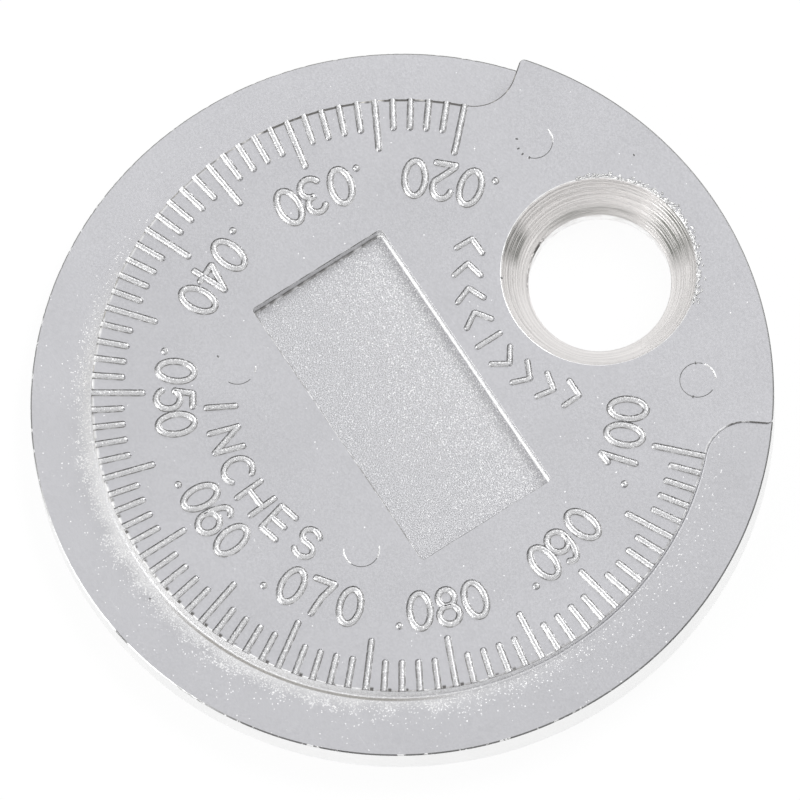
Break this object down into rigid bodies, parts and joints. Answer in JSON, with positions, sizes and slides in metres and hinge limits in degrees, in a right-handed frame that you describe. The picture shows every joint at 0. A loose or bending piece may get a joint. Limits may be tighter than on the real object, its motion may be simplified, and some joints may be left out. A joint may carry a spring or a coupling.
{
  "type": "spark plug gap gauge",
  "caption": "Coin-shaped ramp gauge with a rising stepped rim, raised scale marks, a shallow pocket and a tapered hole for bending the electrode.",
  "frame": {"origin": "centre of the disc's flat back, which it rests on", "axes": "+Z out of the marked face, +Y from the centre to the tapered hole, +X to the right seen from above"},
  "size_m": [0.036, 0.036, 0.0029],
  "materials": {
    "cast_metal": "satin, bright cast zinc"
  },
  "bodies": {
    "root": {"gauge_disc": "cast_metal"}
  },
  "joints": []
}
